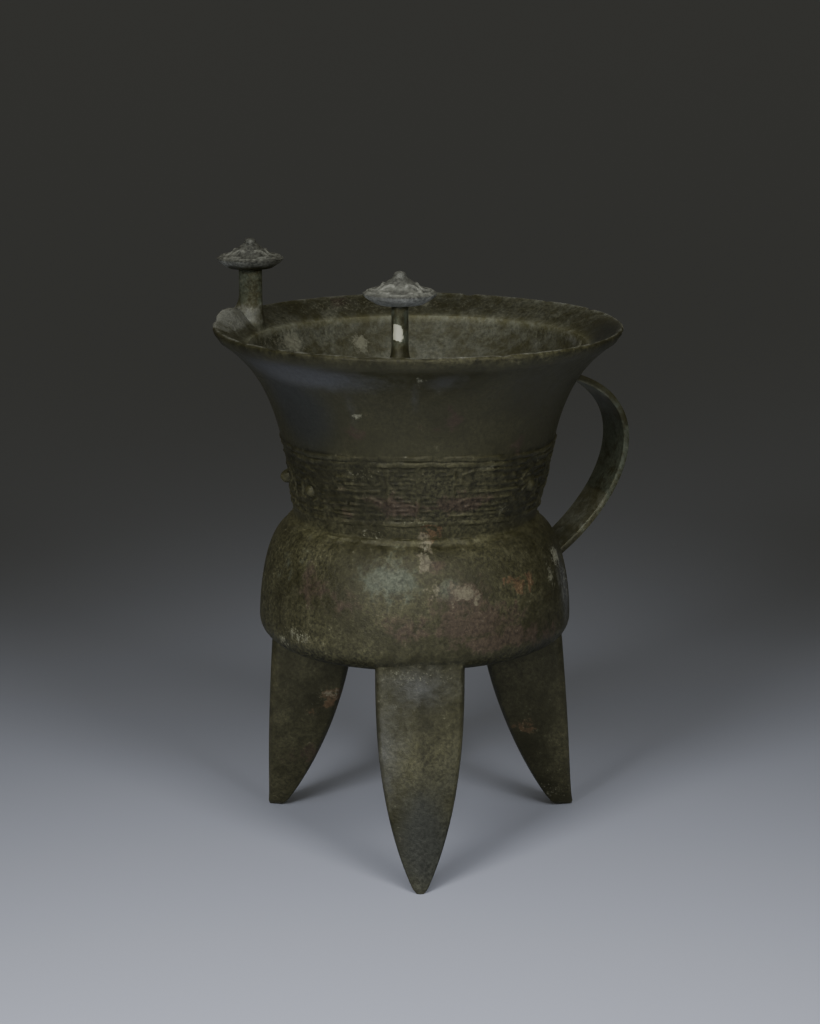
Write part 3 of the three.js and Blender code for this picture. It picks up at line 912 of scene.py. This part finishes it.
def surface_points(piece, axis):
    """Where each point of the mesh lies on the vessel, and which points are inside the bowl."""
    mesh = piece.data
    count = len(mesh.vertices)
    place = np.empty(count * 3, np.float32)
    normal = np.empty(count * 3, np.float32)
    mesh.vertices.foreach_get("co", place)
    mesh.vertex_normals.foreach_get("vector", normal)
    place = (place.reshape(-1, 3) - np.array(axis)) / MM
    normal = normal.reshape(-1, 3)
    radius = np.hypot(place[:, 0], place[:, 1]) + TINY
    azimuth = np.degrees(np.arctan2(place[:, 0], -place[:, 1]))
    height = place[:, 2]
    outward = (normal[:, 0] * place[:, 0] + normal[:, 1] * place[:, 1]) / radius
    on_floor = (normal[:, 2] > FACING) & (height < INNER_CORNER_TOP) & (radius < INNER_FLOOR_RADIUS)
    inner = ((outward < 0) | on_floor) & (radius < RIM_RADIUS)
    inner &= (height > INSIDE_HEIGHTS[0]) & (height < INSIDE_HEIGHTS[1])
    return SimpleNamespace(place=place, radius=radius, azimuth=azimuth, height=height, outward=outward,
                           inner=inner)


def special_forms(spots):
    """How fully each point belongs to each form that weathers, or carries painted light, in its own way."""
    height = spots.height
    radius = spots.radius
    pad_turn = turned_from(spots.azimuth, PAD_PATINA_AZIMUTH)
    pad = bell(pad_turn, 0, PAD_PATINA_SPREAD) * (radius > CREASE_RADIUS)
    return dict(
        # The crease line is lightened as a painted highlight.
        crease=np.where(spots.inner, bell(height, CREASE_HEIGHT, CREASE_LINE), 0),
        pad=pad * between(height, *PAD_HEIGHTS),
        lip_edge=bell(radius, LIP_TOP_RADIUS, LIP_LINE) * smooth(height, LIP_EDGE, LIP_TOP),
        shaft=between(height, *SHAFT_HEIGHTS),
        caps=smooth(height, *CAP_HEIGHTS),
        # The handle's inner face is lightened as painted light where the lamps leave it in shade.
        handle=(radius > HANDLE_INNER_RADIUS) & (height > BELLY_HEIGHT) & (height < HANDLE_TOP),
    )


def weathering_and_painted_light(spots):
    """How strongly each kind of patina, and each painted reflection, highlight and shade, covers each
    point.
    """
    height = spots.height
    azimuth = spots.azimuth
    cover = {}
    for marks, side in ((OUTER_MARKS, ~spots.inner), (INNER_MARKS, spots.inner)):
        for kind, at, level, across, up, strength in marks:
            gap = np.radians(turned_from(azimuth, at)) * spots.radius / across
            rise = (height - level) / up
            weight = strength * np.exp(-gap ** 2 - rise ** 2)
            cover[kind] = np.maximum(cover.get(kind, 0), np.where(side, weight, 0))
    forms = special_forms(spots)
    for form, kind, strength in FORM_COVER:
        cover[kind] = np.maximum(cover[kind], strength * forms[form])
    cover["inside"] = np.where(spots.inner, mix(1, LIP_LINING, smooth(height, *LINING_CHANGE)), 0)
    cover["satin"] = np.where(spots.inner, 0, between(height, *SATIN_HEIGHTS))
    cover["leg"] = 1 - smooth(height, *LEG_TONE_HEIGHTS)
    cover["white"] = post_patch(spots)
    cover["wear"] = band_highlights_and_shade(spots) + cap_wear(spots.place)
    for form, amount in FORM_WEAR_AND_HIGHLIGHT:
        cover["wear"] = cover["wear"] + amount * forms[form]
    # Painted shade under the belly between the legs, and a darker, less shiny lower front leg
    under_belly = between(height, *UNDER_BELLY_HEIGHTS) * (1 - before_leg(azimuth))
    front_foot = 1 - smooth(abs(turned_from(azimuth, FRONT_LEG_AZIMUTH)), *FRONT_FOOT_TURN)
    front_foot = front_foot * (1 - smooth(height, *FRONT_FOOT_HEIGHTS))
    cover["matt"] = np.where(spots.inner, 0, np.maximum(under_belly, FRONT_FOOT_MATT * front_foot))
    return cover


def post_patch(spots):
    """The pale patch on the outer face of the front post."""
    from_post = abs(turned_from(spots.azimuth, POSTS[0]["azimuth"]))
    on_post = (from_post < PATCH_TURN) & (spots.outward > FACING) & (spots.radius > PATCH_RADIUS)
    across = turned_from(spots.azimuth, PATCH_AZIMUTH) / PATCH_REACH[0]
    up = (spots.height - PATCH_HEIGHT) / PATCH_REACH[1]
    return np.where(on_post, np.exp(-up ** 4 - across ** 4), 0)


def before_leg(azimuth):
    share = np.zeros(azimuth.shape)
    for leg in LEGS:
        turn = abs(turned_from(azimuth, leg["azimuth"]))
        share = np.maximum(share, 1 - smooth(turn, *BEFORE_LEG_TURN))
    return share


def band_highlights_and_shade(spots):
    """Painted highlights on the band's raised lines and on the shoulder line, painted shade in the band's
    ground and where the legs join the belly, and a darker streak down the front leg.
    """
    height = spots.height
    from_neck = spots.radius - neck_radius(height)
    band = (height > BOTTOM_LINE) & (height < BAND_SHADING_TOP) & ~spots.inner
    band &= from_neck < BAND_NEAR
    lift = np.clip(band_relief(spots.azimuth, height) / STROKE_RELIEF, 0, 1)
    # Painted highlights on the raised lines and painted shade in the ground
    rubbed = np.where(band, mix(*BAND_SHADE_AND_HIGHLIGHT, lift), 0)
    shoulder = bell(height, SHOULDER_HIGHLIGHT_HEIGHT, SHOULDER_HIGHLIGHT_REACH) * (from_neck < SHOULDER_NEAR)
    joint = before_leg(spots.azimuth) * bell(height, JOINT_HEIGHT, JOINT_REACH)
    from_streak = np.radians(turned_from(spots.azimuth, STREAK_AZIMUTH)) * spots.radius
    streak = bell(from_streak, 0, STREAK_REACH) * between(height, *STREAK_HEIGHTS)
    outer = SHOULDER_HIGHLIGHT * shoulder - JOINT_SHADE * joint - STREAK_SHADE * streak
    return rubbed + np.where(spots.inner, 0, outer)


def cap_wear(place):
    """The curls on the caps are rubbed lighter, and the ground between them is darker."""
    total = np.zeros(len(place))
    for post in POSTS:
        centre = placed(post["azimuth"], post["radius"], 0.0, 0.0)
        x = place[:, 0] - centre[0]
        y = place[:, 1] - centre[1]
        out = np.hypot(x, y)
        cone_start = post["cap"] - CAP_BRIM_INSET
        share = (cone_start - out) / (cone_start - KNOB_FOOT)
        lift = cap_relief(np.degrees(np.arctan2(x, -y)), share) / CURL_RELIEF
        lowest = CAP_BRIM - post["drop"] - CAP_WEAR_DOWN
        on_cap = (out < post["cap"] + CAP_WEAR_OUT) & (place[:, 2] > lowest)
        total += np.where(on_cap, mix(*CAP_WEAR, lift), 0)
    return total


def store(piece, cover):
    for kind, values in cover.items():
        layer = piece.data.attributes.new(kind, "FLOAT", "POINT")
        layer.data.foreach_set("value", values.astype(np.float32))


axis = vessel_axis()
vessel = make_vessel(axis)
store(vessel, weathering_and_painted_light(surface_points(vessel, axis)))
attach(vessel, "root")
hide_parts(NODE)

# Textures of the patina, with scales per metre
BROAD = dict(Scale=30, Detail=5, Roughness=0.6, Distortion=0.4)
MOTTLE = dict(Scale=170, Detail=6, Roughness=0.7, Distortion=0.3)
SPECK = dict(Scale=700, Detail=4, Roughness=0.72)
GRAIN = dict(Scale=1700, Detail=3, Roughness=0.6)
# Layers over the olive ground, some of them painted reflection, light and shade: kind, colour, spread of
# the mottle, start and end of the cover, most cover
LAYERS = (
    ("blue", BLUE_GREY, 0.4, 0.25, 0.9, 1.0),
    ("haze", HAZE_AND_SHEEN, 0.8, 0.15, 1.05, 1.0),
    ("green", GREEN, 1.6, 0.4, 0.75, 1.0),
    ("brown", BROWN, 2.4, 0.45, 0.65, 1.0),
    ("rust", RUST, 2.0, 0.36, 0.72, 0.85),
    ("tan", TAN, 2.4, 0.42, 0.62, 0.8),
    ("grey", GREY, 1.2, 0.25, 0.9, 1.0),
)
# Shares of the broad texture and of the mottle, and the range that turns them into a tone
GROUND_SHARES = (0.55, 0.45)
GROUND_RANGE = (0.36, 0.66)
LINING_SHARES = (0.4, 0.6)
LINING_RANGE = (0.4, 0.62)
# Specks lighten and darken, unevenly over the body and less so on the legs and inside
SPECK_LIGHT = dict(start=0.3, end=0.7, low=-0.5, high=0.55)
BROAD_UNEVEN = dict(start=0.35, end=0.65, low=0.55, high=1.2)
LEG_UNEVEN = dict(start=0, end=1, low=1, high=0.6)
INSIDE_UNEVEN = dict(start=0, end=1, low=1, high=0.65)
# Crust and the white patch
CRUST_GRAINS = dict(spread=2.6, start=0.5, end=0.9)
CRUST_PATCHES = dict(spread=2.2, start=0.5, end=0.8)
CRUST_PATCH_SHARE = 0.6
SCATTER_SPECKS = (0.6, 0.7)
SCATTER_MOTTLE = (0.5, 0.66)
SCATTER_SHARE = 0.6
WHITE_EDGE = dict(spread=1.7, start=0.45, end=0.6)
# Sheen and bump
SATIN_CALM = 0.68
SATIN_POLISH = 0.1
# How much the matt mask darkens the colour: painted shade under the belly, and the darker lower front leg
MATT_SHADE = 0.4
CRUST_COVER = 0.75
CRUST_ROUGHNESS = 0.3
ROUGHNESS = dict(start=0.3, end=0.7, low=0.44, high=0.64)
METALLIC = 0.3
SPECULAR = dict(start=0, end=1, low=0.38, high=0.05)
BUMP_HEIGHT = 1.0
BUMP_STRENGTH = 0.8
MOTTLE_BUMP = 0.3
SPECK_BUMP = 0.3
GRAIN_BUMP = 0.08
CRUST_BUMP = 0.25
# Numbers of the Mix node's colour sockets, whose names aren't unique
MIX_COLOURS = (6, 7)
MIX_RESULT = 2


class Nodes:
    """Adds shader nodes to a material. Most calls return the output of the node that they add."""

    def __init__(self, tree):
        self.tree = tree
        self.where = tree.nodes.new("ShaderNodeTexCoord").outputs["Object"]

    def put(self, socket, value):
        if isinstance(value, bpy.types.NodeSocket):
            self.tree.links.new(value, socket)
        elif isinstance(value, tuple):
            socket.default_value = (*value, 1)[:len(socket.default_value)]
        else:
            socket.default_value = value

    def added(self, kind, inputs, **settings):
        node = self.tree.nodes.new("ShaderNode" + kind)
        for name, value in settings.items():
            setattr(node, name, value)
        for name, value in inputs.items():
            self.put(node.inputs[name], value)
        return node.outputs

    def noise(self, inputs):
        return self.added("TexNoise", dict(inputs, Vector=self.where))[0]

    def attribute(self, name):
        return self.added("Attribute", {}, attribute_name=name)["Fac"]

    def worked_out(self, operation, first, second):
        return self.added("Math", {0: first, 1: second}, operation=operation)[0]

    def plus(self, first, second):
        return self.worked_out("ADD", first, second)

    def minus(self, first, second):
        return self.worked_out("SUBTRACT", first, second)

    def times(self, first, second):
        return self.worked_out("MULTIPLY", first, second)

    def larger(self, first, second):
        return self.worked_out("MAXIMUM", first, second)

    def ramp(self, value, start, end, low=0.0, high=1.0):
        inputs = {"Value": value, "From Min": start, "From Max": end, "To Min": low, "To Max": high}
        return self.added("MapRange", inputs, interpolation_type="SMOOTHSTEP")[0]

    def blend(self, share, first, second):
        inputs = {"Factor": share, MIX_COLOURS[0]: first, MIX_COLOURS[1]: second}
        return self.added("Mix", inputs, data_type="RGBA")[MIX_RESULT]

    def scaled(self, colour, share):
        return self.added("VectorMath", {0: colour, "Scale": share}, operation="SCALE")[0]

    def patchy(self, name, texture, spread, start, end):
        """An attribute's share, broken into patches by a texture."""
        wander = self.times(self.minus(texture, 0.5), spread)
        return self.ramp(self.plus(self.attribute(name), wander), start, end)

    def bump(self, height, strength):
        inputs = dict(Height=height, Distance=BUMP_HEIGHT * MM, Strength=strength)
        return self.added("Bump", inputs)["Normal"]


def ground_colour(nodes, broad, mottle, rugged):
    """The olive ground outside and the paler lining inside."""
    tone = nodes.plus(nodes.times(broad, GROUND_SHARES[0]), nodes.times(mottle, GROUND_SHARES[1]))
    tone = nodes.times(nodes.minus(tone, 0.5), rugged)
    tone = nodes.ramp(nodes.plus(tone, 0.5), *GROUND_RANGE)
    outside = nodes.blend(tone, OLIVE_DARK, OLIVE)
    lining = nodes.plus(nodes.times(broad, LINING_SHARES[0]), nodes.times(mottle, LINING_SHARES[1]))
    lining = nodes.ramp(lining, *LINING_RANGE)
    return nodes.blend(nodes.attribute("inside"), outside, nodes.blend(lining, OLIVE, INSIDE))


def brightness(nodes, broad, speck, rugged, matt):
    """Specks, wear and painted highlights and shade make the colour lighter or darker, the specks less so
    on the legs and inside.
    """
    uneven = nodes.times(rugged, nodes.ramp(broad, **BROAD_UNEVEN))
    uneven = nodes.times(uneven, nodes.ramp(nodes.attribute("leg"), **LEG_UNEVEN))
    uneven = nodes.times(uneven, nodes.ramp(nodes.attribute("inside"), **INSIDE_UNEVEN))
    light = nodes.plus(1.0, nodes.times(nodes.ramp(speck, **SPECK_LIGHT), uneven))
    light = nodes.plus(light, nodes.attribute("wear"))
    return nodes.minus(light, nodes.times(matt, MATT_SHADE))


def crust_share(nodes, mottle, speck, rugged):
    """Pale crust: grains and patches where it is marked, and scattered grains elsewhere."""
    scattered = nodes.times(nodes.ramp(speck, *SCATTER_SPECKS), nodes.ramp(mottle, *SCATTER_MOTTLE))
    scattered = nodes.times(scattered, nodes.times(rugged, SCATTER_SHARE))
    grains = nodes.patchy("crust", speck, **CRUST_GRAINS)
    patches = nodes.times(nodes.patchy("crust", mottle, **CRUST_PATCHES), CRUST_PATCH_SHARE)
    return nodes.larger(nodes.larger(grains, scattered), patches)


def patina_and_painted_light():
    """Dark bronze under the kinds of patina, and the painted reflections, highlights and shade, whose
    shares are stored on the mesh.
    """
    material = bpy.data.materials.new("patina_and_painted_light")
    material.use_nodes = True
    nodes = Nodes(material.node_tree)
    broad = nodes.noise(BROAD)
    mottle = nodes.noise(MOTTLE)
    speck = nodes.noise(SPECK)
    grain = nodes.noise(GRAIN)
    satin = nodes.attribute("satin")
    matt = nodes.attribute("matt")
    rugged = nodes.minus(1.0, nodes.times(satin, SATIN_CALM))

    colour = ground_colour(nodes, broad, mottle, rugged)
    for kind, tint, spread, start, end, most in LAYERS:
        share = nodes.patchy(kind, mottle, spread, start, end)
        colour = nodes.blend(nodes.times(share, most), colour, tint)
    colour = nodes.scaled(colour, brightness(nodes, broad, speck, rugged, matt))
    crust = crust_share(nodes, mottle, speck, rugged)
    colour = nodes.blend(nodes.times(crust, CRUST_COVER), colour, CRUST)
    white = nodes.patchy("white", mottle, **WHITE_EDGE)
    colour = nodes.blend(white, colour, WHITE)

    rough = nodes.ramp(mottle, **ROUGHNESS)
    rough = nodes.minus(rough, nodes.times(satin, SATIN_POLISH))
    rough = nodes.plus(rough, nodes.times(crust, CRUST_ROUGHNESS))
    metal = nodes.minus(METALLIC, nodes.times(nodes.larger(crust, white), METALLIC))
    relief = nodes.plus(nodes.times(mottle, MOTTLE_BUMP), nodes.times(speck, SPECK_BUMP))
    relief = nodes.plus(relief, nodes.times(grain, GRAIN_BUMP))
    relief = nodes.plus(relief, nodes.times(crust, CRUST_BUMP))

    shader = material.node_tree.nodes["Principled BSDF"]
    nodes.put(shader.inputs["Base Color"], colour)
    nodes.put(shader.inputs["Roughness"], rough)
    nodes.put(shader.inputs["Metallic"], metal)
    nodes.put(shader.inputs["Specular IOR Level"], nodes.ramp(matt, **SPECULAR))
    nodes.put(shader.inputs["Normal"], nodes.bump(relief, nodes.times(rugged, BUMP_STRENGTH)))
    return material


vessel.data.materials.clear()
vessel.data.materials.append(patina_and_painted_light())

# Floor, camera and lights
FLOOR_SIZE = 40000
PAPER_ROUGHNESS = 0.9
SENSOR_HEIGHT = 36
PICTURE_HEIGHT_PIXELS = 1024
FOCAL_LENGTH_PIXELS = 2673.04
CAMERA_FROM_AXIS = (-3.12, -1034.96, 377.2)
CAMERA_PITCH = 13.20095
LIGHTS = (
    dict(name="top", place=(0, -600, 900), aim=(0, -550, 0), size=(900, 300), spread=94, power=2.5),
    dict(name="key", place=(-470, -814, 462), aim=(-120, -300, 0), size=(300, 300), spread=55, power=0.84),
    dict(name="front", place=(-140, -1020, 495), aim=(0, -200, 0), size=(300, 300), spread=60, power=0.26,
         vessel_only=True),
    dict(name="fill", place=(484, -805, 462), aim=(120, -300, 0), size=(300, 300), spread=55, power=0.54),
    dict(name="back left", place=(-220, 970, 130), aim=(0, 0, 120), size=(400, 160), spread=40, power=0.42,
         vessel_only=True, reflected=False),
    dict(name="back right", place=(260, 960, 130), aim=(0, 0, 120), size=(400, 160), spread=40, power=0.42,
         vessel_only=True, reflected=False),
)


def make_floor():
    bpy.ops.mesh.primitive_plane_add(size=FLOOR_SIZE * MM, location=(0, 0, 0))
    plane = bpy.context.object
    plane.name = "floor"
    paper = bpy.data.materials.new("paper")
    paper.use_nodes = True
    shader = paper.node_tree.nodes["Principled BSDF"]
    shader.inputs["Base Color"].default_value = (*PAPER, 1)
    shader.inputs["Roughness"].default_value = PAPER_ROUGHNESS
    plane.data.materials.append(paper)
    return plane


def make_camera():
    data = bpy.data.cameras.new("camera")
    data.sensor_fit = "VERTICAL"
    data.sensor_height = SENSOR_HEIGHT
    data.lens = SENSOR_HEIGHT * FOCAL_LENGTH_PIXELS / PICTURE_HEIGHT_PIXELS
    camera = bpy.data.objects.new("camera", data)
    bpy.context.scene.collection.objects.link(camera)
    camera.location = axis + Vector(CAMERA_FROM_AXIS) * MM
    camera.rotation_euler = (math.radians(90 - CAMERA_PITCH), 0, 0)
    return camera


def soft_box(name, place, aim, size, spread, power, vessel_only=False, reflected=True):
    """An area light. It can be kept off the floor, and out of the bronze's reflections."""
    data = bpy.data.lights.new(name, "AREA")
    data.shape = "RECTANGLE"
    data.size = size[0] * MM
    data.size_y = size[1] * MM
    data.energy = power
    data.spread = math.radians(spread)
    lamp = bpy.data.objects.new(name, data)
    bpy.context.scene.collection.objects.link(lamp)
    lamp.location = axis + Vector(place) * MM
    lamp.rotation_euler = (Vector(place) - Vector(aim)).to_track_quat("Z", "Y").to_euler()
    lamp.visible_glossy = reflected
    if vessel_only:
        receivers = bpy.data.collections.new(name + " receivers")
        receivers.objects.link(vessel)
        lamp.light_linking.receiver_collection = receivers


def make_room():
    room = bpy.data.worlds.new("room")
    room.use_nodes = True
    room.node_tree.nodes["Background"].inputs["Color"].default_value = (*ROOM, 1)
    return room


floor = make_floor()
bpy.context.scene.camera = make_camera()
for light in LIGHTS:
    soft_box(**light)
bpy.context.scene.world = make_room()
